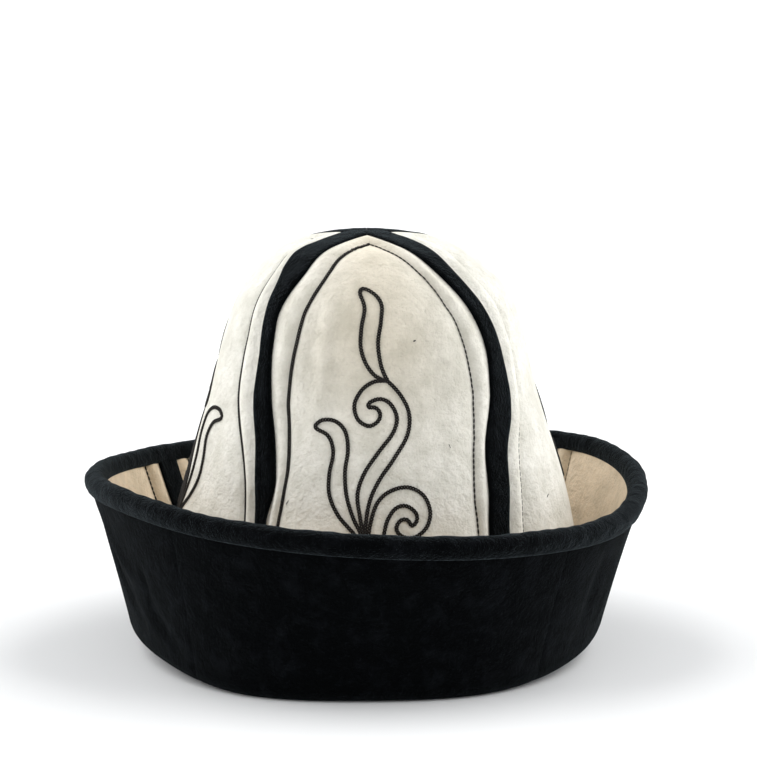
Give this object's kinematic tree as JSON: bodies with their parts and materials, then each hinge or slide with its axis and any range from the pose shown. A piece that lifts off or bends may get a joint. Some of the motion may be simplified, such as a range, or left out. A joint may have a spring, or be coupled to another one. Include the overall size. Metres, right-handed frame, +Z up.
{
  "type": "felt kalpak hat",
  "caption": "Tall rounded felt hat with velvet bands over its crown's seams and a turned-up brim faced and bound in velvet, open inside for a head.",
  "frame": {"origin": "on the table under the middle of the hat, which rests on its brim's fold", "axes": "+Z up to the crown's tip, -Y towards the front gore, +X to the right as seen from the front"},
  "size_m": [0.2512, 0.2419, 0.1865],
  "materials": {
    "felt": "pressed wool felt",
    "velvet": "velvet pile",
    "velvet_trim": "velvet pile"
  },
  "bodies": {
    "root": {"gore_front": "felt", "gore_right": "felt", "gore_back": "felt", "gore_left": "felt", "facing_front": "velvet", "facing_right": "velvet", "facing_back": "velvet", "facing_left": "velvet", "band_front_left": "velvet_trim", "band_front_right": "velvet_trim", "band_back_right": "velvet_trim", "band_back_left": "velvet_trim", "binding": "velvet_trim"}
  },
  "joints": []
}
